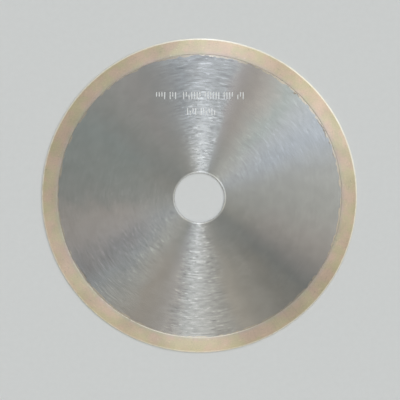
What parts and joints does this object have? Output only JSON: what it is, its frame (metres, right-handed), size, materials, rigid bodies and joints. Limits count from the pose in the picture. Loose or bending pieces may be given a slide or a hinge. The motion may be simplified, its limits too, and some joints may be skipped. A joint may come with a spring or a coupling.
{
  "type": "diamond cutting blade",
  "caption": "Thin round cut-off wheel: a flat ground steel core with a centre bore and a continuous diamond rim bonded round its edge.",
  "frame": {"origin": "on the wheel's axis, in the plane that the lower face of the rim rests on", "axes": "+Z along the wheel's axis, out of the marked face; +Y towards the etched marks"},
  "size_m": [0.2, 0.2, 0.0015],
  "materials": {
    "ground_steel": "ground in circles round the bore, satin",
    "bronze_bond": "sintered bronze with fine diamond grit, dressed flat, matt"
  },
  "bodies": {
    "root": {"steel_core": "ground_steel", "diamond_rim": "bronze_bond"}
  },
  "joints": []
}
